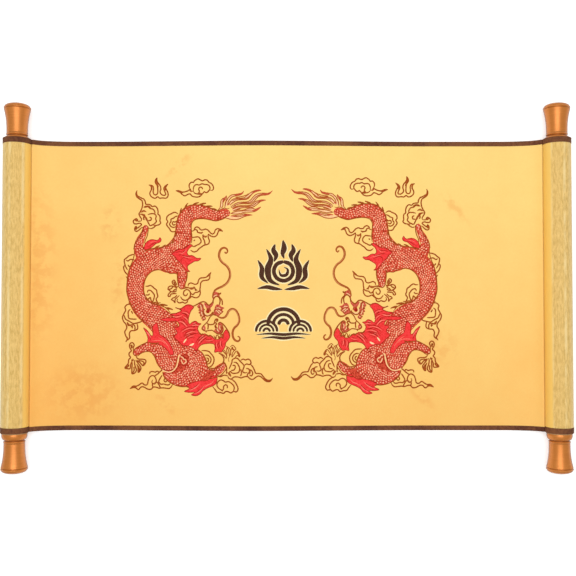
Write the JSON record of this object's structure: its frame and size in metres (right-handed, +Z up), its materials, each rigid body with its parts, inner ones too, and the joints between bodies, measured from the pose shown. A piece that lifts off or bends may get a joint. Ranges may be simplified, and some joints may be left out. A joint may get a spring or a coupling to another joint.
{
  "type": "paper scroll",
  "caption": "Open paper scroll on two turned rollers: a printed sheet with brown bound edges, its ends wrapped once round the rods with the brocade back outward.",
  "frame": {"origin": "on the table under the middle of the scroll, midway between the two rollers", "axes": "+X along the sheet from the left roller to the right one, +Y along the rollers to the sheet's top edge, +Z up from the table"},
  "size_m": [0.5574, 0.3618, 0.027],
  "materials": {
    "paper": "matte",
    "brocade": "satin",
    "binding": "matte",
    "rod_wood": "matte",
    "knob_copper": "satin",
    "red_ink": "matte",
    "outline_ink": "matte",
    "dark_ink": "matte"
  },
  "bodies": {
    "root": {"face_paper": "paper", "brocade_backing": "brocade", "top_binding": "binding", "bottom_binding": "binding", "left_roller_rod": "rod_wood", "right_roller_rod": "rod_wood", "turned_knobs": "knob_copper", "left_dragon_print": "red_ink", "right_dragon_print": "red_ink", "left_cloud_print": "outline_ink", "right_cloud_print": "outline_ink", "centre_ornament_print": "dark_ink"}
  },
  "joints": []
}
